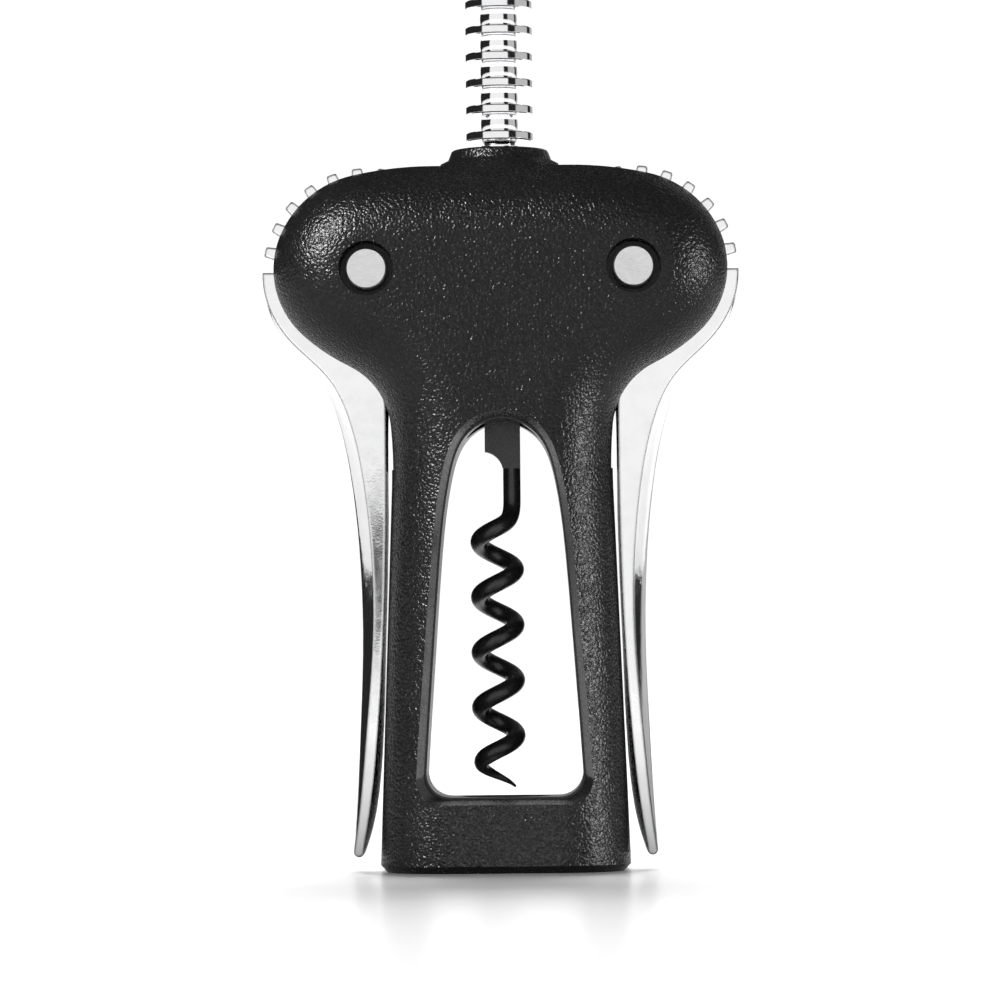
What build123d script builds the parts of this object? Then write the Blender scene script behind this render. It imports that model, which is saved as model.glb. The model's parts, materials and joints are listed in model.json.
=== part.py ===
"""Winged (double lever) corkscrew: body, two toothed levers, round rack, worm and turning knob.

Millimetres, +Z up. The origin is the middle of the base, on the bottle axis.
The two levers swing about pins that run front to back; -Y is the front.
"""

import math
import os

from build123d import *

os.makedirs("parts", exist_ok=True)


# ---------------------------------------------------------------- driving dimensions

# Body
body_top = 117.2  # top of the head, beside the collar
collar_top = 120.0
collar_radius = 8.0  # at its top
collar_edge = 0.6
collar_foot_radius = 8.65
collar_foot = 118.3
collar_spread = (22.0, 13.2)  # half width and half depth where it runs out into the head
collar_spread_z = 112.0
head_flat = 11.5  # half width of the straight part of the top edge
# The side of the body as arcs, each running on from the last: radius, degrees it turns.
# They go round the head, in to the waist, and end in the straight leg, 20.75 from the middle at the base.
head_arcs = [(59.6, 12.8), (17.3, 52.3), (14.95, 72.6), (33.2, 16.0), (12.2, -58.2), (78.9, -7.62)]
edge_roll = 12.0  # radius that rolls the front and rear faces into the sides
base_chamfer = 1.2
below_base = 16.0  # stock drawn under the base, so that the rolled edge runs out cleanly
front_bow = [(-17.7, 8.0), (-16.8, 50.0), (-16.4, 90.0)]  # y and z of the slightly bowed front face
front_foot = -18.0
stock_half = 50.0  # half width, half depth and margin of cutting blocks, clear of the whole body

# Bottle end
bottle_radius = 15.5  # takes the 29 to 30 mm lip of a wine bottle
seat_wall = 0.8
seat_depth = 10.2
worm_hole_radius = 7.5

# Window that shows the worm
window_sill = 12.3
window_top = 74.8
window_half_width = 12.95
window_arch = [(5.7, 72.2), (8.65, 65.2), (10.4, 52.0), (11.6, 36.0)]  # right of the middle, top down
window_corner = 4.0
cover_reveal = 0.3  # the covers stand back from the chassis round the window
bevel_side = 1.95
bevel_end = 1.1
bevel_start = 8.4  # the window flares from here, front or rear of the middle
bevel_finish = 17.8

# Lever slot and chassis
slot_half = 7.2
slot_floor = 66.5
waist_top = 82.0  # below this the body is solid between the two slots
waist_solid_half = 17.4
throat_bottom = 111.3  # underside of the bridge that holds the upper guide
throat_half = 7.6
bridge_bottom = 113.2
bridge_half = 9.8
ear_half = 9.0  # outer face of the chassis ears
shell_wall = 2.6  # how far the chassis stays inside the covers' outline
pinion_room = 18.6  # space kept free round each pivot
above_body = 125.0  # a height clear of the body
inner_bore = 6.0  # room for the worm and rack between the window and the lower guide

# Guides that the rack slides in
guide_outer = 6.6
lower_guide_bottom = 78.0
lower_guide_top = 86.2
lower_boss_half = 8.4

# Screws that close the two covers over the chassis, from the rear
screw_places = [(-11.2, 80.0), (11.2, 80.0)]
screw_radius = 1.3
screw_head_radius = 2.4
screw_seat = 13.0
screw_end = 12.5
screw_head_height = 1.5
screw_recess = (0.9, 0.8)  # radius, depth

# Pivots
pivot_x = 21.95
pivot_z = 99.3
pin_shaft_radius = 2.5
pin_head_radius = 3.4
pin_well_radius = 4.5
pin_reach = 15.75  # the rivet faces, front and rear
pin_in_cap = 13.25  # how far back the shaft goes into the cap
pin_edge = 0.25
pivot_washer_radius = 6.5
running_gap = 0.05

# Levers
lever_half = 6.5
pinion_half = 5.5
tooth_tip_radius = 17.5
tooth_root_radius = 14.9
tooth_angle = 14.4  # degrees from tooth to tooth
first_tooth = 12.2  # degrees above the outward horizontal
tooth_count = 14
tooth_tip_width = 1.7
tooth_root_width = 2.3
shoulder_angle = 0.4
tooth_corner = 0.4
lever_bore_radius = pin_shaft_radius + running_gap
lever_tip_z = 2.55
# The blade's two edges, from the top down: x, z and how far the edge is crowned there
blade_outer = [
    (38.85, 93.5, 0.5), (36.1, 88.3, 0.9), (30.15, 81.6, 1.6), (27.3, 75.0, 2.0), (25.25, 65.0, 2.2),
    (23.95, 52.0, 2.2), (23.6, 38.0, 1.9), (24.1, 24.0, 1.3), (24.85, 11.0, 0.8), (25.45, 3.7, 0.4),
]
blade_inner = [
    (18.95, 86.0, 0.3), (18.95, 66.0, 0.3), (19.1, 54.0, 0.3), (19.4, 44.0, 0.3), (19.7, 36.0, 0.4),
    (19.95, 28.0, 0.65), (20.35, 20.0, 0.9), (21.3, 10.8, 1.0), (22.95, 3.7, 0.5),
]

# Rack: round rings on a waisted core, so that it can turn while it meshes
ring_radius = 5.575
ring_thickness = 1.4
ring_pitch = 4.42
ring_start = pivot_z + 0.8 - 4 * ring_pitch
ring_count = 19
core_radius = 2.85
core_bulge = 0.25
ring_bevel = (0.2, 0.15)  # inwards, along the axis
rack_bottom = 77.5
travel = 43.0
guide_radius = ring_radius + 0.07

# Worm
worm_axis_x = -1.05
worm_radius = 3.0
worm_wire = 1.45
worm_pitch = 9.2
worm_tip_z = 13.9
worm_tip_angle = 28.0
tang_width = 5.9
tang_thickness = 3.0
tang_bottom = 66.8
tang_top = 92.0
tang_notch_radius = 3.4
spigot_width = 3.8
spigot_thickness = 2.0
worm_neck_x = 1.5
worm_taper_turn = 200.0  # degrees over which the wire narrows to its point
worm_end_angle = 4 * 360 + 262.0
worm_pin_radius = 0.75
worm_pin_z = ring_start + 1.5 * ring_pitch

# Knob
washer_radius = 8.2
washer_bottom = collar_top + travel
washer_top = washer_bottom + 1.6
knob_collar_foot = (7.6, 0.05)  # radius, height over the washer
knob_collar_waist = (8.4, 0.8, 1.6)  # radius, heights over the washer
knob_collar_flange = 10.6
knob_collar_sweep = 4.5  # radius of the hollow under the flange
ferrule_top = 169.4
knob_half_width = 31.0
knob_half_depth = 15.0
knob_top = 189.6
spindle_top = 184.0
core_top = 187.4
knob_boss = (15.0, 7.5)  # half sizes of the core inside the grip
knob_plate = (17.5, 8.0)  # half sizes of the cap let into the top
knob_screw_radius = 1.25
knob_screw_head = 3.0
knob_screw_length = 8.0
knob_sections = [  # height, half width, half depth
    (ferrule_top, 17.0, 11.4),
    (173.0, 27.0, 14.0),
    (178.5, knob_half_width, knob_half_depth),
    (184.0, 29.0, 13.8),
    (188.4, 22.5, 10.6),
]


# ---------------------------------------------------------------- shared outlines


def body_outline(inset=0.0, bottom=-below_base, whole=True):
    """Front view of the body: rounded head, narrow waist, legs that spread to the base.

    inset moves the whole outline inwards. With whole=False it is only the right-hand half.
    """
    with BuildSketch(Plane.XZ) as outline:
        with BuildLine():
            top = Line((0, body_top - inset), (head_flat, body_top - inset))
            side = top
            for radius, turn in head_arcs:
                side = JernArc(side @ 1, side % 1, radius - math.copysign(inset, turn), -turn)
            drop = ((side @ 1).Y - bottom) / -(side % 1).Y
            leg = Line(side @ 1, side @ 1 + (side % 1) * drop)
            Polyline(leg @ 1, (0, bottom), top @ 0)
        make_face()
        if whole:
            mirror(about=Plane.YZ)
    return outline.sketch


def window_outline(plane, side=0.0, end=0.0):
    """Front view of the window: a tall arch that widens towards a flat sill with round corners.

    side and end widen it at the sides and at the two ends.
    """
    middle = (window_top + window_sill) / 2
    wide = (window_half_width + side) / window_half_width
    tall = 1 + 2 * end / (window_top - window_sill)
    sill = middle + (window_sill - middle) * tall
    foot = (window_half_width + side, sill + window_corner)
    right = [(x * wide, middle + (z - middle) * tall) for x, z in window_arch] + [foot]
    left = [(-x, z) for x, z in reversed(right)]
    with BuildSketch(plane) as outline:
        with BuildLine():
            Spline(*left, (0, middle + (window_top - middle) * tall), *right, tangents=[(0.06, 1), (0.06, -1)])
            RadiusArc(foot, (foot[0] - window_corner, sill), window_corner)
            Line((foot[0] - window_corner, sill), (window_corner - foot[0], sill))
            RadiusArc((window_corner - foot[0], sill), left[0], window_corner)
        make_face()
    return outline.sketch


def lever_slot():
    """The space between the covers and ears where the levers swing, over both sides."""
    plane = Plane.XZ.offset(-slot_half)
    with BuildSketch(plane) as middle:
        # what stays solid: the waist and the lower guide's boss below, the bridge above
        for half_width, low, high in (
            (waist_solid_half, slot_floor, waist_top),
            (lower_boss_half, slot_floor, lower_guide_top),
            (throat_half, throat_bottom, above_body),
            (bridge_half, bridge_bottom, above_body),
        ):
            with Locations((0, (low + high) / 2)):
                Rectangle(2 * half_width, high - low)
        with Locations((-pivot_x, pivot_z), (pivot_x, pivot_z)):
            Circle(pinion_room, mode=Mode.SUBTRACT)
    with BuildSketch(plane) as outline:
        with Locations((0, (slot_floor + above_body) / 2)):
            Rectangle(2 * stock_half, above_body - slot_floor)
        add(middle.sketch_local, mode=Mode.SUBTRACT)
    return extrude(outline.sketch, amount=2 * slot_half, mode=Mode.PRIVATE)


def cylinder_between(x, y, radius, low, high, mode=Mode.ADD):
    """A round bar or hole along Z."""
    with BuildSketch(Plane.XY.offset(low)) as disc:
        with Locations((x, y)):
            Circle(radius)
    extrude(disc.sketch, amount=high - low, mode=mode)


def bar_along_y(x, z, radius, front, rear, mode=Mode.ADD):
    """A round bar or hole from front to rear, at (x, z)."""
    with BuildSketch(Plane.XZ.offset(-rear)) as disc:
        with Locations((x, z)):
            Circle(radius)
    extrude(disc.sketch, amount=rear - front, mode=mode)


def bar_along_x(z, radius, left, right, mode=Mode.ADD):
    """A round bar or hole along X through the bottle axis, at height z."""
    with BuildSketch(Plane.YZ.offset(left)) as disc:
        with Locations((0, z)):
            Circle(radius)
    extrude(disc.sketch, amount=right - left, mode=mode)


# ---------------------------------------------------------------- chassis

with BuildPart() as frame:
    extrude(body_outline(shell_wall, seat_depth), amount=ear_half, both=True)
    add(lever_slot(), mode=Mode.SUBTRACT)
    extrude(window_outline(Plane.XZ), amount=stock_half, both=True, mode=Mode.SUBTRACT)
    cylinder_between(0, 0, inner_bore, window_top - 10, above_body, Mode.SUBTRACT)
    cylinder_between(0, 0, guide_outer, lower_guide_bottom, above_body, Mode.SUBTRACT)
    cylinder_between(0, 0, worm_hole_radius, 0, window_sill + 1, Mode.SUBTRACT)
    for side in (-1, 1):
        bar_along_y(side * pivot_x, pivot_z, pin_shaft_radius, -stock_half, stock_half, Mode.SUBTRACT)
    for x, z in screw_places:
        bar_along_y(x, z, screw_radius, -stock_half, stock_half, Mode.SUBTRACT)
frame.part.label = "frame"
export_step(frame.part, "parts/frame.step")


# ---------------------------------------------------------------- covers

with BuildPart() as front_blank:
    # the right half first; its front is slightly bowed, and rolls round into the side
    extrude(body_outline(whole=False), amount=stock_half)
    top_corner = (front_bow[-1][0], above_body)
    bottom_corner = (front_foot, -below_base)
    with BuildSketch(Plane.YZ.offset(-stock_half)) as side_view:
        with BuildLine():
            Spline(bottom_corner, *front_bow, top_corner)
            Polyline(top_corner, (0, above_body), (0, -below_base), bottom_corner)
        make_face()
    extrude(amount=2 * stock_half, mode=Mode.INTERSECT)
    front_edges = front_blank.faces().sort_by(Axis.Y)[0].edges()
    rolled = front_edges.filter_by(lambda e: e.center().Z > -below_base + 1 and e.center().X > 0.1)
    fillet(rolled, edge_roll)
    mirror(about=Plane.YZ)
    # collar round the rack: a short cone that spreads into the head
    with BuildSketch(Plane.XY.offset(collar_spread_z)):
        Ellipse(*collar_spread)
    with BuildSketch(Plane.XY.offset(collar_foot)):
        Circle(collar_foot_radius)
    loft()
    with BuildSketch(Plane.XY.offset(collar_foot)):
        Circle(collar_foot_radius)
    with BuildSketch(Plane.XY.offset(collar_top)):
        Circle(collar_radius)
    loft()
    with BuildSketch(Plane.XZ.offset(-stock_half)) as rear_half:
        Rectangle(2 * stock_half, 4 * above_body)
    extrude(amount=stock_half, mode=Mode.SUBTRACT)
    rim = front_blank.faces().filter_by(Axis.Z).sort_by(Axis.Z)[-1].edges().filter_by(GeomType.CIRCLE)
    fillet(rim, collar_edge)
    # cut the stock off at the base
    with BuildSketch(Plane.XY.offset(-stock_half)):
        Rectangle(2 * stock_half, 2 * stock_half)
    extrude(amount=stock_half, mode=Mode.SUBTRACT)


def finish_cover(blank, name, facing):
    """Hollow one cover: bottle end, chassis pocket, lever slot, window, rivet wells, screw holes.

    facing is 1 for the front cover and -1 for the rear one.
    """
    with BuildPart() as cover:
        add(blank)
        base_edges = cover.faces().sort_by(Axis.Z)[0].edges().filter_by(lambda e: abs(e.center().Y) > 1)
        chamfer(base_edges, base_chamfer)
        cylinder_between(0, 0, bottle_radius + seat_wall, -1, seat_depth, Mode.SUBTRACT)
        pocket = body_outline(shell_wall, seat_depth)
        extrude(pocket, amount=facing * ear_half, mode=Mode.SUBTRACT)
        add(lever_slot(), mode=Mode.SUBTRACT)
        opening = window_outline(Plane.XZ, cover_reveal, cover_reveal)
        extrude(opening, amount=facing * stock_half, mode=Mode.SUBTRACT)
        cylinder_between(0, 0, worm_hole_radius, seat_depth - 1, window_sill + 1, Mode.SUBTRACT)
        cylinder_between(0, 0, guide_outer, throat_bottom, above_body, Mode.SUBTRACT)
        for side in (-1, 1):
            bar_along_y(side * pivot_x, pivot_z, pin_well_radius, -stock_half, stock_half, Mode.SUBTRACT)
        for x, z in screw_places:
            if facing > 0:
                bar_along_y(x, z, screw_radius, -screw_end, 0, Mode.SUBTRACT)
            else:
                bar_along_y(x, z, screw_radius, 0, stock_half, Mode.SUBTRACT)
                bar_along_y(x, z, screw_head_radius, screw_seat, stock_half, Mode.SUBTRACT)
        near = window_outline(Plane.XZ.offset(facing * bevel_start), 0.1, 0.2)
        far = window_outline(Plane.XZ.offset(facing * bevel_finish), bevel_side, bevel_end)
        loft([near, far], mode=Mode.SUBTRACT)
    cover.part.label = name
    return cover.part


front_cover = finish_cover(front_blank.part, "front_cover", 1)
export_step(front_cover, "parts/front_cover.step")

rear_cover = finish_cover(front_blank.part.mirror(Plane.XZ), "rear_cover", -1)
export_step(rear_cover, "parts/rear_cover.step")


# ---------------------------------------------------------------- guides, bottle seat, screws

with BuildPart() as lower_guide:
    cylinder_between(0, 0, guide_outer, lower_guide_bottom, lower_guide_top)
    cylinder_between(0, 0, guide_radius, lower_guide_bottom - 1, lower_guide_top + 1, Mode.SUBTRACT)
lower_guide.part.label = "lower_guide"
export_step(lower_guide.part, "parts/lower_guide.step")

with BuildPart() as upper_guide:
    cylinder_between(0, 0, guide_outer, throat_bottom, collar_top - 0.5)
    cylinder_between(0, 0, guide_radius, throat_bottom - 1, collar_top + 1, Mode.SUBTRACT)
upper_guide.part.label = "upper_guide"
export_step(upper_guide.part, "parts/upper_guide.step")

with BuildPart() as bottle_seat:
    cylinder_between(0, 0, bottle_radius + seat_wall, 0, seat_depth)
    cylinder_between(0, 0, bottle_radius, -1, seat_depth + 1, Mode.SUBTRACT)
bottle_seat.part.label = "bottle_seat"
export_step(bottle_seat.part, "parts/bottle_seat.step")

with BuildPart() as cover_screws:
    for x, z in screw_places:
        bar_along_y(x, z, screw_radius, -screw_end + 0.6, screw_seat + 0.1)
        top = screw_seat + screw_head_height
        bar_along_y(x, z, screw_head_radius - 0.1, screw_seat, top)
        bar_along_y(x, z, screw_recess[0], top - screw_recess[1], top + 1, Mode.SUBTRACT)
cover_screws.part.label = "cover_screws"
export_step(cover_screws.part, "parts/cover_screws.step")


# ---------------------------------------------------------------- pivots

for name, x in (("left", -pivot_x), ("right", pivot_x)):
    with BuildPart() as pin:
        bar_along_y(x, pivot_z, pin_shaft_radius, -ear_half, pin_in_cap)
        bar_along_y(x, pivot_z, pin_head_radius, -pin_reach, -ear_half)
        chamfer(pin.faces().sort_by(Axis.Y)[0].edges(), pin_edge)
    pin.part.label = name + "_pivot_pin"
    export_step(pin.part, "parts/" + name + "_pivot_pin.step")

    with BuildPart() as cap:
        bar_along_y(x, pivot_z, pin_head_radius, ear_half, pin_reach)
        chamfer(cap.faces().sort_by(Axis.Y)[-1].edges(), pin_edge)
        bar_along_y(x, pivot_z, pin_shaft_radius, 0, pin_in_cap, Mode.SUBTRACT)
    cap.part.label = name + "_pivot_cap"
    export_step(cap.part, "parts/" + name + "_pivot_cap.step")

with BuildPart() as pivot_washers:
    thickness = slot_half - pinion_half - running_gap
    for x in (-pivot_x, pivot_x):
        for front in (-slot_half, slot_half - thickness):
            bar_along_y(x, pivot_z, pivot_washer_radius, front, front + thickness)
        bar_along_y(x, pivot_z, pin_shaft_radius, -slot_half, slot_half, Mode.SUBTRACT)
pivot_washers.part.label = "pivot_washers"
export_step(pivot_washers.part, "parts/pivot_washers.step")


# ---------------------------------------------------------------- levers


def tooth_outline(side, angle):
    """One tooth seen from the front: slightly tapered, with rounded tip corners."""
    turn = math.radians(angle)
    middle = (tooth_root_radius + tooth_tip_radius) / 2
    spread = (tooth_root_width - tooth_tip_width) / 4
    shape = [
        (tooth_root_radius - 0.5 - middle, -tooth_root_width / 2),
        (tooth_tip_radius - middle, -tooth_tip_width / 2),
        (tooth_tip_radius - middle, tooth_tip_width / 2),
        (tooth_root_radius - 0.5 - middle, tooth_root_width / 2),
    ]
    points = []
    for along, across in shape:
        reach = middle + along
        x = reach * math.cos(turn) - across * math.sin(turn)
        z = reach * math.sin(turn) + across * math.cos(turn)
        points.append((side * (pivot_x + x), pivot_z + z))
    return points


def blade_outline(side, depth, crown):
    """Front view of the blade at one depth; crown is the share of the edges' crowning taken off."""
    shoulder = math.radians(shoulder_angle)
    shoulder_tip = (
        side * (pivot_x + tooth_tip_radius * math.cos(shoulder)),
        pivot_z + tooth_tip_radius * math.sin(shoulder),
    )
    outer = [shoulder_tip] + [(side * (x - crown * drop), z) for x, z, drop in blade_outer]
    inner = [(side * (x + crown * drop), z) for x, z, drop in reversed(blade_inner)]
    tip = ((outer[-1][0] + inner[0][0]) / 2, lever_tip_z)
    hub_side = (side * (pivot_x - 2), pivot_z - 4)
    hub_top = (side * (pivot_x + 8), pivot_z + 8 * math.tan(shoulder))
    with BuildSketch(Plane.XZ.offset(-depth)) as blade:
        with BuildLine():
            Spline(*outer)
            ThreePointArc(outer[-1], tip, inner[0])
            Spline(*inner[:-1])
            Polyline(inner[-2], inner[-1], hub_side, hub_top, outer[0])
        make_face()
    return blade.sketch


def make_lever(side, name):
    """A die-cast wing: blade, shoulder and toothed hub in one piece. side is 1 right, -1 left."""
    with BuildPart() as lever:
        loft([
            blade_outline(side, -lever_half, 1),
            blade_outline(side, 0, 0),
            blade_outline(side, lever_half, 1),
        ])
        with BuildSketch(Plane.XZ.offset(-lever_half - 1)) as hub_room:
            with Locations((side * pivot_x, pivot_z)):
                Circle(tooth_root_radius - 0.6)
        extrude(hub_room.sketch, amount=2 * lever_half + 2, mode=Mode.SUBTRACT)
        with BuildSketch(Plane.XZ.offset(-pinion_half)) as pinion:
            with Locations((side * pivot_x, pivot_z)):
                Circle(tooth_root_radius)
            for index in range(tooth_count):
                with BuildLine():
                    Polyline(*tooth_outline(side, first_tooth + index * tooth_angle), close=True)
                make_face()
            middle = Vector(side * pivot_x, 0, pivot_z)
            corners = pinion.vertices().filter_by(lambda v: (Vector(v) - middle).length > tooth_root_radius + 1)
            fillet(corners, tooth_corner)
        extrude(pinion.sketch, amount=2 * pinion_half)
        bar_along_y(side * pivot_x, pivot_z, lever_bore_radius, -stock_half, stock_half, Mode.SUBTRACT)
    lever.part.label = name
    return lever.part


for name, side in (("left_lever", -1), ("right_lever", 1)):
    lever = make_lever(side, name)
    export_step(lever, "parts/" + name + ".step")


# ---------------------------------------------------------------- rack and worm

with BuildPart() as rack:
    with BuildSketch(Plane.XZ) as half_section:
        with BuildLine():
            Line((0, rack_bottom), (core_radius, rack_bottom))
            low = rack_bottom
            for index in range(ring_count):
                middle = ring_start + index * ring_pitch
                start = middle - ring_thickness / 2
                end = middle + ring_thickness / 2
                if index == 0:
                    Line((core_radius, low), (core_radius, start))
                else:
                    ThreePointArc(
                        (core_radius, low), (core_radius + core_bulge, (low + start) / 2), (core_radius, start)
                    )
                Polyline(
                    (core_radius, start),
                    (ring_radius - ring_bevel[0], start),
                    (ring_radius, start + ring_bevel[1]),
                    (ring_radius, end - ring_bevel[1]),
                    (ring_radius - ring_bevel[0], end),
                    (core_radius, end),
                )
                low = end
            Line((core_radius, low), (core_radius, spindle_top))
            Line((core_radius, spindle_top), (0, spindle_top))
            Line((0, spindle_top), (0, rack_bottom))
        make_face()
    revolve(axis=Axis.Z)
    # socket for the worm's tang and the cross hole for its pin
    with BuildSketch(Plane.XY.offset(rack_bottom)) as socket:
        Rectangle(spigot_width, spigot_thickness)
    extrude(socket.sketch, amount=tang_top - rack_bottom, mode=Mode.SUBTRACT)
    bar_along_x(worm_pin_z, worm_pin_radius, -stock_half, stock_half, Mode.SUBTRACT)
    cylinder_between(0, 0, knob_screw_radius, spindle_top - knob_screw_length, spindle_top, Mode.SUBTRACT)
rack.part.label = "rack"
export_step(rack.part, "parts/rack.step")


def worm_helix(start_angle, turn):
    """A stretch of the worm's centre line, from start_angle, turn degrees long, rising to the right."""
    height = worm_pitch * turn / 360
    start_z = worm_tip_z + worm_pitch * (start_angle - worm_tip_angle) / 360
    curve = Helix(worm_pitch, height, worm_radius, mode=Mode.PRIVATE).rotate(Axis.Z, start_angle)
    return curve.moved(Location((worm_axis_x, 0, start_z)))


with BuildPart() as worm:
    tip = worm_helix(worm_tip_angle, worm_taper_turn)
    with BuildSketch(Plane(origin=tip @ 0, z_dir=tip % 0)) as point:
        Circle(0.2)
    with BuildSketch(Plane(origin=tip @ 1, z_dir=tip % 1)) as full:
        Circle(worm_wire)
    sweep([point.sketch, full.sketch], path=tip, multisection=True, is_frenet=True)
    body_start = worm_tip_angle + worm_taper_turn
    coil = worm_helix(body_start, worm_end_angle - body_start)
    with BuildSketch(Plane(origin=coil @ 0, z_dir=coil % 0)) as wire:
        Circle(worm_wire)
    sweep(wire.sketch, path=coil, is_frenet=True)
    # the wire swings up out of the coil into the tang
    with BuildLine() as swan_neck:
        rise = Spline(coil @ 1, (worm_neck_x, 0, tang_bottom - 5), tangents=[coil % 1, (0, 0, 1)])
        Line(rise @ 1, (worm_neck_x, 0, tang_bottom + 2))
    with BuildSketch(Plane(origin=coil @ 1, z_dir=coil % 1)) as wire:
        Circle(worm_wire)
    sweep(wire.sketch, path=swan_neck.wires()[0])
    with BuildSketch(Plane.XZ.offset(-tang_thickness / 2)) as tang:
        with Locations((0, (tang_bottom + rack_bottom) / 2)):
            Rectangle(tang_width, rack_bottom - tang_bottom)
        with Locations((-tang_width / 2 - 0.4, tang_bottom - 0.6)):
            Circle(tang_notch_radius, mode=Mode.SUBTRACT)
    extrude(tang.sketch, amount=tang_thickness)
    with BuildSketch(Plane.XY.offset(rack_bottom - 1)) as spigot:
        Rectangle(spigot_width, spigot_thickness)
    extrude(spigot.sketch, amount=tang_top - rack_bottom + 1)
    bar_along_x(worm_pin_z, worm_pin_radius, -stock_half, stock_half, Mode.SUBTRACT)
worm.part.label = "worm"
export_step(worm.part, "parts/worm.step")

with BuildPart() as worm_pin:
    bar_along_x(worm_pin_z, worm_pin_radius, -core_radius, core_radius)
worm_pin.part.label = "worm_pin"
export_step(worm_pin.part, "parts/worm_pin.step")


# ---------------------------------------------------------------- knob

with BuildPart() as rack_washer:
    cylinder_between(0, 0, washer_radius, washer_bottom, washer_top)
    cylinder_between(0, 0, core_radius + 0.08, washer_bottom - 1, washer_top + 1, Mode.SUBTRACT)
    fillet(rack_washer.edges().filter_by(GeomType.CIRCLE).group_by(SortBy.RADIUS)[-1], 0.5)
rack_washer.part.label = "rack_washer"
export_step(rack_washer.part, "parts/rack_washer.step")

with BuildPart() as knob_collar:
    foot_radius, foot_gap = knob_collar_foot
    waist_radius, waist_low, waist_high = knob_collar_waist
    flange = (knob_collar_flange, ferrule_top)
    with BuildSketch(Plane.XZ) as collar_section:
        with BuildLine():
            Polyline(
                (core_radius, ferrule_top),
                (core_radius, washer_top + foot_gap),
                (foot_radius, washer_top + foot_gap),
                (waist_radius, washer_top + waist_low),
                (waist_radius, washer_top + waist_high),
            )
            RadiusArc((waist_radius, washer_top + waist_high), flange, knob_collar_sweep)
            Line(flange, (core_radius, ferrule_top))
        make_face()
    revolve(axis=Axis.Z)
knob_collar.part.label = "knob_collar"
export_step(knob_collar.part, "parts/knob_collar.step")

with BuildPart() as knob_core:
    with BuildSketch(Plane.XY.offset(ferrule_top)) as boss:
        Ellipse(*knob_boss)
    extrude(boss.sketch, amount=core_top - ferrule_top)
    cylinder_between(0, 0, core_radius, 0, spindle_top, Mode.SUBTRACT)
    cylinder_between(0, 0, knob_screw_head + 0.2, spindle_top, knob_top, Mode.SUBTRACT)
knob_core.part.label = "knob_core"
export_step(knob_core.part, "parts/knob_core.step")

with BuildPart() as knob_cap:
    with BuildSketch(Plane.XY.offset(core_top)) as plate:
        Ellipse(*knob_plate)
    extrude(plate.sketch, amount=knob_top - core_top)
    fillet(knob_cap.faces().sort_by(Axis.Z)[-1].edges(), 0.6)
knob_cap.part.label = "knob_cap"
export_step(knob_cap.part, "parts/knob_cap.step")

with BuildPart() as knob_grip:
    for height, half_width, half_depth in knob_sections:
        with BuildSketch(Plane.XY.offset(height)):
            Ellipse(half_width, half_depth)
    loft()
    with BuildSketch(Plane.XY.offset(ferrule_top - 1)) as boss:
        Ellipse(*knob_boss)
    extrude(boss.sketch, amount=core_top - ferrule_top + 1, mode=Mode.SUBTRACT)
    with BuildSketch(Plane.XY.offset(core_top)) as plate:
        Ellipse(*knob_plate)
    extrude(plate.sketch, amount=10, mode=Mode.SUBTRACT)
knob_grip.part.label = "knob_grip"
export_step(knob_grip.part, "parts/knob_grip.step")

with BuildPart() as knob_screw:
    cylinder_between(0, 0, knob_screw_radius, spindle_top - knob_screw_length, spindle_top)
    cylinder_between(0, 0, knob_screw_head, spindle_top, spindle_top + 2)
    with BuildSketch(Plane.XY.offset(spindle_top + 1)) as recess:
        RegularPolygon(1.2, 6)
    extrude(recess.sketch, amount=2, mode=Mode.SUBTRACT)
knob_screw.part.label = "knob_screw"
export_step(knob_screw.part, "parts/knob_screw.step")
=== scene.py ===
"""Winged corkscrew: procedural materials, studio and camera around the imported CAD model.

Every CAD node keeps its own shape and gets the material of its slot; no pieces are added.
Lengths are metres, light powers are watts, and noise scales are features per metre.
"""

import json
import math

import bpy
from mathutils import Matrix, Vector

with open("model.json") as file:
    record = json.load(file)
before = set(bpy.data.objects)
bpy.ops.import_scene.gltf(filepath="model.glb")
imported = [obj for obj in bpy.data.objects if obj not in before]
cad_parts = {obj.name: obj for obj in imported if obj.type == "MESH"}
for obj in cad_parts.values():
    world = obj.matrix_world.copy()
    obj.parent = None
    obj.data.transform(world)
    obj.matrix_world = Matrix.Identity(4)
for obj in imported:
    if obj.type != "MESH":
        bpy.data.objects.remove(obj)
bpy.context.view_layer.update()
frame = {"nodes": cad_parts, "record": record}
nodes = frame["nodes"]


# ---------------------------------------------------------------- camera

# A long lens, low in front of the object, a touch to the right and rolled a little.
CAMERA_DISTANCE = 0.850
CAMERA_HEIGHT = 0.0308
CAMERA_RIGHT = 0.0092
AIM = Vector((-0.0005, 0, 0.0616))
ROLL = math.radians(-0.55)
LENS = 183.6
SENSOR_WIDTH = 36
CLIP_START = 0.01


def facing(place, aim):
    """The matrix of a camera or light that stands at place and faces aim."""
    turn = (aim - place).to_track_quat("-Z", "Y").to_matrix().to_4x4()
    return Matrix.Translation(place) @ turn


def make_camera():
    """The one camera, in front of the object and looking slightly up."""
    data = bpy.data.cameras.new("camera")
    data.lens = LENS
    data.sensor_width = SENSOR_WIDTH
    data.clip_start = CLIP_START
    camera = bpy.data.objects.new("camera", data)
    bpy.context.scene.collection.objects.link(camera)
    place = Vector((CAMERA_RIGHT, -CAMERA_DISTANCE, CAMERA_HEIGHT))
    camera.matrix_world = facing(place, AIM) @ Matrix.Rotation(ROLL, 4, "Z")
    bpy.context.scene.camera = camera


# ---------------------------------------------------------------- node helpers


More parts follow.
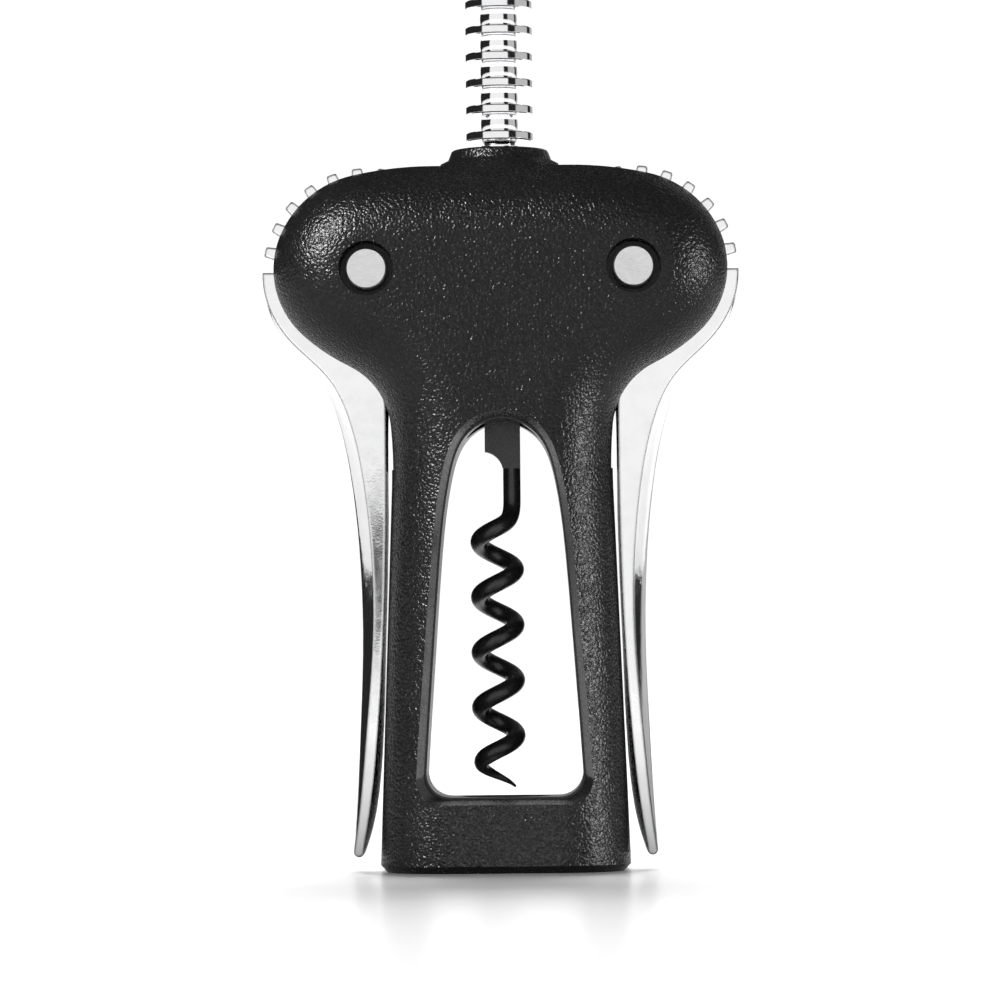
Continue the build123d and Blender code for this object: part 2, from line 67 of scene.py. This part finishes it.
class Nodes:
    """A short way to write a material's or the world's node tree."""

    def __init__(self, tree):
        self.tree = tree

    def add(self, kind, inputs=(), **settings):
        node = self.tree.nodes.new("ShaderNode" + kind)
        for name, value in settings.items():
            setattr(node, name, value)
        for name, value in dict(inputs).items():
            self.plug(node, name, value)
        return node

    def plug(self, node, name, value):
        """Link a socket to the node's input, or set the input to a plain value."""
        socket = node.inputs[name]
        if isinstance(value, bpy.types.NodeSocket):
            self.tree.links.new(value, socket)
        else:
            socket.default_value = value

    def math(self, operation, *values):
        node = self.add("Math", dict(enumerate(values)), operation=operation)
        return node.outputs[0]

    def vector_math(self, operation, *vectors, result="Vector", **inputs):
        inputs.update(enumerate(vectors))
        node = self.add("VectorMath", inputs, operation=operation)
        return node.outputs[result]

    def vector(self, **parts):
        """A vector from its X, Y or Z; those left out are zero."""
        return self.add("CombineXYZ", parts).outputs[0]

    def split(self, vector):
        """The x, y and z of a vector."""
        return self.add("SeparateXYZ", {"Vector": vector}).outputs

    def object_point(self):
        return self.add("TexCoord").outputs["Object"]

    def object_normal(self):
        return self.add("TexCoord").outputs["Normal"]

    def stretched(self, point, scale):
        return self.add("Mapping", {"Vector": point, "Scale": scale}).outputs[0]

    def noise(self, point, scale, detail=2.0, roughness=0.5):
        inputs = {"Vector": point, "Scale": scale, "Detail": detail, "Roughness": roughness}
        return self.add("TexNoise", inputs).outputs["Fac"]

    def ramp(self, value, low, high, to_low, to_high):
        """value from low..high becomes to_low..to_high, clamped and smooth."""
        inputs = {
            "Value": value,
            "From Min": low,
            "From Max": high,
            "To Min": to_low,
            "To Max": to_high,
        }
        return self.add("MapRange", inputs, interpolation_type="SMOOTHSTEP").outputs["Result"]

    def near_grey(self, shade, blue=1.0):
        """A grey of the given shade, with its blue multiplied by the given share."""
        blue_part = self.math("MULTIPLY", shade, blue)
        return self.add("CombineColor", {"Red": shade, "Green": shade, "Blue": blue_part}).outputs[0]

    def bump(self, height, distance, normal=None):
        node = self.add("Bump", {"Height": height, "Distance": distance, "Strength": 1.0})
        if normal is not None:
            self.plug(node, "Normal", normal)
        return node.outputs["Normal"]


def softened_normal(n, radius, normal=None):
    """The shading normal with every edge softened over radius, as casting and plating leave it."""
    node = n.add("Bevel", {"Radius": radius}, samples=6)
    if normal is not None:
        n.plug(node, "Normal", normal)
    return node.outputs["Normal"]


def lathe_normal(n):
    """The shading normal of a part turned on a lathe, taken exactly round the object's Z axis."""
    spot = n.split(n.object_point())
    outward = n.vector_math("NORMALIZE", n.vector(X=spot[0], Y=spot[1]))
    rise = n.split(n.object_normal())[2]
    across = n.math("SQRT", n.math("SUBTRACT", 1.0, n.math("MULTIPLY", rise, rise)))
    level = n.vector_math("SCALE", outward, Scale=across)
    normal = n.vector_math("ADD", level, n.vector(Z=rise))
    spaces = {"vector_type": "NORMAL", "convert_from": "OBJECT", "convert_to": "WORLD"}
    return n.add("VectorTransform", {"Vector": normal}, **spaces).outputs[0]


def new_material(name):
    """A material with one Principled shader; returns it, its node helper and the shader."""
    material = bpy.data.materials.new(name)
    material.use_nodes = True
    tree = material.node_tree
    shader = tree.nodes["Principled BSDF"]
    return material, Nodes(tree), shader


def grey(value):
    return (value, value, value, 1.0)


# ---------------------------------------------------------------- materials

# Noise is mostly between these two values, so most ramps of it start and end there.
NOISE_LOW = 0.3
NOISE_HIGH = 0.7


def grained(name, tone, grain, depth, rough):
    """Moulded plastic or rubber with a fine leathery grain; grain is its size.

    Walls that face the middle plane, as in the window, are smooth and catch little light.
    """
    cloud_scale = 60.0
    pebble_share, fold_share = 1.6, 0.8
    wall_specular, face_specular = 0.03, 0.13
    fully_inward = -0.004
    material, n, shader = new_material(name)
    point = n.object_point()
    # x times the normal's x, negative where the surface faces the plane x = 0
    outward = n.math("MULTIPLY", n.split(point)[0], n.split(n.object_normal())[0])
    open_face = n.ramp(outward, fully_inward, 0.0, 0.0, 1.0)
    pebbles = n.noise(point, 1 / grain, detail=0.8)
    # the folds are wider than the pebbles, and 0 along the lines where their noise crosses its middle
    fold_noise = n.noise(point, 0.6 / grain, detail=1.0)
    folds = n.math("ABSOLUTE", n.math("SUBTRACT", fold_noise, 0.5))
    clouds = n.noise(point, cloud_scale, detail=3.0)
    raised = n.math("MULTIPLY", pebbles, pebble_share)
    lowered = n.math("MULTIPLY", folds, fold_share)
    height = n.math("SUBTRACT", raised, lowered)
    n.plug(shader, "Normal", n.bump(n.math("MULTIPLY", height, open_face), depth))
    pits = n.ramp(folds, 0.0, 0.2, 0.7, 1.25)
    cloudy_tone = n.ramp(clouds, NOISE_LOW, NOISE_HIGH, tone * 0.9, tone * 1.1)
    n.plug(shader, "Base Color", n.near_grey(n.math("MULTIPLY", pits, cloudy_tone), blue=1.03))
    n.plug(shader, "Roughness", n.ramp(pebbles, NOISE_LOW, NOISE_HIGH, rough - 0.05, rough + 0.06))
    n.plug(shader, "Specular IOR Level", n.ramp(open_face, 0.0, 1.0, wall_specular, face_specular))
    return material


def polished_chrome(name, tone, rough, ripple, edge, on_lathe=False):
    """Polished plating with a faint ripple along Z and fine pits, darker towards the bottom.

    Edges are softened over the width edge, and a painted dark reflection is drawn along them in the base
    colour, standing in for the dark room that rounded edges reflect.
    """
    wave_scale, pit_scale, smudge_scale = 420.0, 2600.0, 220.0
    along_z = (1, 1, 0.35)
    pit_share = 0.003
    relief = 0.0006
    # the share of the colour left in the painted dark reflection along the edges
    painted_edge_shade = 0.06
    # how far up the colour is darker towards the bottom, and the share of the tone left at z = 0
    darker_up_to, low_share = 0.034, 0.42
    material, n, shader = new_material(name)
    point = n.object_point()
    waves = n.noise(n.stretched(point, along_z), wave_scale)
    pits = n.noise(point, pit_scale, roughness=0.6)
    smudge = n.noise(point, smudge_scale, detail=4.0, roughness=0.65)
    height = n.math("ADD", n.math("MULTIPLY", waves, ripple), n.math("MULTIPLY", pits, pit_share))
    smooth = lathe_normal(n) if on_lathe else None
    soft = softened_normal(n, edge, smooth)
    n.plug(shader, "Normal", n.bump(height, relief, soft))
    n.plug(shader, "Metallic", 1.0)
    # 1 on a face, and less the further the softened normal leaves the flat one
    face_normal = n.add("NewGeometry").outputs["Normal"]
    agreement = n.vector_math("DOT_PRODUCT", soft, face_normal, result="Value")
    # painted dark reflection: the base colour drops towards a small share where the softened normal
    # leaves the flat one, at every edge
    painted_dark_edge = n.ramp(agreement, 0.88, 0.995, painted_edge_shade, 1.0)
    # darker towards the bottom: the base colour rises from a share of the tone at z = 0 to the full tone
    # at the given height
    darker_low = n.ramp(n.split(point)[2], 0.0, darker_up_to, tone * low_share, tone)
    smudged = n.ramp(smudge, 0.35, NOISE_HIGH, 1.0, 0.95)
    shade = n.math("MULTIPLY", n.math("MULTIPLY", darker_low, painted_dark_edge), smudged)
    n.plug(shader, "Base Color", n.near_grey(shade, blue=1.01))
    n.plug(shader, "Roughness", n.ramp(smudge, NOISE_LOW, 0.75, rough, rough + 0.04))
    return material


def brushed_steel(name, tone, rough, scratches):
    """Steel with long fine scratches and a cloudy tone; scratches is their scale along X, Y and Z."""
    cloud_scale = 420.0
    scratch_depth = 0.00004
    material, n, shader = new_material(name)
    point = n.object_point()
    lines = n.noise(n.stretched(point, scratches), 1.0, detail=4.0, roughness=0.7)
    clouds = n.noise(point, cloud_scale, detail=3.0)
    n.plug(shader, "Normal", n.bump(lines, scratch_depth))
    n.plug(shader, "Metallic", 1.0)
    cloudy_tone = n.ramp(clouds, NOISE_LOW, NOISE_HIGH, tone * 0.92, tone * 1.06)
    scratched = n.ramp(lines, NOISE_LOW, NOISE_HIGH, 0.93, 1.05)
    n.plug(shader, "Base Color", n.near_grey(n.math("MULTIPLY", cloudy_tone, scratched)))
    n.plug(shader, "Roughness", n.ramp(clouds, NOISE_LOW, NOISE_HIGH, rough - 0.05, rough + 0.07))
    return material


def coated_black(name, tone, rough):
    """Coating or smooth moulding: semi-gloss black with a faint speckle."""
    speckle_scale, cloud_scale = 3000.0, 300.0
    speckle_depth = 0.00003
    material, n, shader = new_material(name)
    point = n.object_point()
    speckle = n.noise(point, speckle_scale, detail=3.0, roughness=0.6)
    clouds = n.noise(point, cloud_scale)
    n.plug(shader, "Normal", n.bump(speckle, speckle_depth))
    cloudy_tone = n.ramp(clouds, NOISE_LOW, NOISE_HIGH, tone * 0.85, tone * 1.2)
    n.plug(shader, "Base Color", n.near_grey(cloudy_tone, blue=1.05))
    n.plug(shader, "Roughness", n.ramp(speckle, NOISE_LOW, NOISE_HIGH, rough - 0.04, rough + 0.08))
    return material


def make_materials():
    """One material for each of the record's slots.

    The keys are the slots' names. The materials' own names can't be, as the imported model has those.
    """
    return {
        "cover_black": grained("cover_black", tone=0.0035, grain=0.00045, depth=0.00012, rough=0.25),
        "chassis_black": coated_black("chassis_black", tone=0.014, rough=0.35),
        "guide_black": coated_black("guide_black", tone=0.02, rough=0.4),
        "rivet_steel": brushed_steel("rivet_steel", tone=0.62, rough=0.32, scratches=(900, 900, 5200)),
        "washer_nylon": grained("washer_nylon", tone=0.55, grain=0.0006, depth=0.00002, rough=0.5),
        "seat_black": coated_black("seat_black", tone=0.018, rough=0.55),
        "screw_steel": brushed_steel("screw_steel", tone=0.5, rough=0.3, scratches=(4000, 1500, 1500)),
        "lever_chrome": polished_chrome("lever_chrome", tone=0.88, rough=0.04, ripple=0.02, edge=0.0007),
        "rack_chrome": polished_chrome(
            "rack_chrome", tone=0.86, rough=0.05, ripple=0.02, edge=0.0002, on_lathe=True
        ),
        "worm_coating": coated_black("worm_coating", tone=0.012, rough=0.3),
        "knob_plastic": coated_black("knob_plastic", tone=0.02, rough=0.3),
        "knob_rubber": grained("knob_rubber", tone=0.02, grain=0.0005, depth=0.00003, rough=0.6),
        "knob_steel": brushed_steel("knob_steel", tone=0.6, rough=0.3, scratches=(300, 6000, 6000)),
    }


def paint_cad(materials):
    """Give every CAD node the material of its slot."""
    for part in frame["record"]["subparts"]:
        node = nodes[part["node"]]
        node.data.materials.clear()
        node.data.materials.append(materials[part["material_slot"]])


# ---------------------------------------------------------------- studio

# What the chrome reflects, in degrees. Azimuth 0 is towards the camera and + is right.
PANELS = [
    # left, right, low, high, feather, strength
    (-58, 32, -18, 30, 2, 1.00),  # in front
    (60, 117, -18, 40, 3, 0.55),  # to the right
    (138, 164, -20, 50, 5, 0.50),  # behind, on the right
    (168, 190, -4, 14, 2, 1.00),  # straight behind
    (-190, -168, -4, 14, 2, 1.00),  # the same one, past the seam at 180 degrees
]
# The camera's lens, seen in the chrome: a small panel that takes most of the light away.
LENS_SHADE = (-3.2, -1.0, 0.5, 1.9, 0.25, -0.95)
AMBIENT = 0.02
SWEEP_WHITE = 1.05

FLOOR_REACH = 6.0
FLOOR_TONE = 0.9
FLOOR_ROUGHNESS = 0.25
FLOOR_SPECULAR = 0.3
FLOOR_GLOW = 0.08

SUN_POWER = 7.6
SUN_SPREAD = math.radians(46)
SUN_TILT = math.radians(-50)


def soft_box(n, azimuth, elevation, left, right, low, high, feather, strength):
    """A panel with soft edges in the world's light: strength inside it and 0 outside."""
    right_of_left = n.ramp(azimuth, left - feather, left + feather, 0, 1)
    left_of_right = n.ramp(azimuth, right - feather, right + feather, 1, 0)
    above_low = n.ramp(elevation, low - feather, low + feather, 0, 1)
    below_high = n.ramp(elevation, high - feather, high + feather, 1, 0)
    across = n.math("MULTIPLY", right_of_left, left_of_right)
    along = n.math("MULTIPLY", above_low, below_high)
    return n.math("MULTIPLY", n.math("MULTIPLY", across, along), strength)


def make_world():
    """The camera sees a white sweep; everything else sees the panels, with the lens as a dark spot."""
    world = bpy.data.worlds.new("studio")
    world.use_nodes = True
    tree = world.node_tree
    tree.nodes.clear()
    n = Nodes(tree)
    x, y, z = n.split(n.add("TexCoord").outputs["Generated"])
    degrees = 180 / math.pi
    azimuth = n.math("MULTIPLY", n.math("ARCTAN2", x, n.math("MULTIPLY", y, -1.0)), degrees)
    elevation = n.math("MULTIPLY", n.math("ARCSINE", z), degrees)
    total = AMBIENT
    for panel in PANELS:
        total = n.math("ADD", total, soft_box(n, azimuth, elevation, *panel))
    lens_spot = soft_box(n, azimuth, elevation, *LENS_SHADE)
    total = n.math("MULTIPLY", total, n.math("ADD", lens_spot, 1.0))
    seen = n.add("Background", {"Color": grey(1.0), "Strength": SWEEP_WHITE})
    lit = n.add("Background", {"Color": n.near_grey(total), "Strength": 1.0})
    to_camera = n.add("LightPath").outputs["Is Camera Ray"]
    choose = n.add("MixShader", {0: to_camera, 1: lit.outputs[0], 2: seen.outputs[0]})
    n.add("OutputWorld", {"Surface": choose.outputs[0]})
    bpy.context.scene.world = world


def make_floor():
    """A pale glossy table top that fades to white."""
    mesh = bpy.data.meshes.new("floor")
    signs = [(-1, -1), (1, -1), (1, 1), (-1, 1)]
    corners = [(x * FLOOR_REACH, y * FLOOR_REACH, 0) for x, y in signs]
    mesh.from_pydata(corners, [], [(0, 1, 2, 3)])
    floor = bpy.data.objects.new("floor", mesh)
    bpy.context.scene.collection.objects.link(floor)
    material, n, shader = new_material("floor_white")
    n.plug(shader, "Base Color", grey(FLOOR_TONE))
    n.plug(shader, "Roughness", FLOOR_ROUGHNESS)
    n.plug(shader, "Specular IOR Level", FLOOR_SPECULAR)
    n.plug(shader, "Emission Color", grey(1.0))
    n.plug(shader, "Emission Strength", FLOOR_GLOW)
    floor.data.materials.append(material)


def area_light(name, place, aim, size, power, lit):
    """A soft area light at place, facing aim, that reaches only the objects in lit."""
    data = bpy.data.lights.new(name, "AREA")
    data.shape = "RECTANGLE"
    data.size, data.size_y = size
    data.energy = power
    light = bpy.data.objects.new(name, data)
    bpy.context.scene.collection.objects.link(light)
    light.matrix_world = facing(Vector(place), Vector(aim))
    reached = bpy.data.collections.new(name + "_reaches")
    for item in lit:
        reached.objects.link(item)
    light.light_linking.receiver_collection = reached


def make_sun():
    """A wide sun behind the object, which lights the table and throws the soft shadow forward."""
    data = bpy.data.lights.new("back", "SUN")
    data.energy = SUN_POWER
    data.angle = SUN_SPREAD
    back = bpy.data.objects.new("back", data)
    bpy.context.scene.collection.objects.link(back)
    back.rotation_euler = (SUN_TILT, 0, 0)
    back.visible_glossy = False


def make_lights():
    """Three lights on the covers alone, and the sun.

    The key from the upper left picks out the grain, the rim lights the right edge, and the glow
    is the table's light on the foot of the front cover.
    """
    covers = [nodes["front_cover"], nodes["rear_cover"]]
    area_light(
        "key", place=(-0.55, -0.55, 0.54), aim=(0, 0, 0.09), size=(0.28, 0.28), power=34.0, lit=covers
    )
    area_light(
        "rim", place=(0.75, -0.30, 0.10), aim=(0, 0, 0.06), size=(0.25, 0.25), power=10.0, lit=covers
    )
    area_light(
        "table_glow",
        place=(0.012, -0.12, 0.001),
        aim=(0.005, -0.017, 0.008),
        size=(0.05, 0.02),
        power=0.06,
        lit=covers,
    )
    make_sun()


# ---------------------------------------------------------------- the scene

# plain display, so that the white stays white
bpy.context.scene.view_settings.view_transform = "Standard"
make_camera()
make_world()
make_floor()
make_lights()
paint_cad(make_materials())
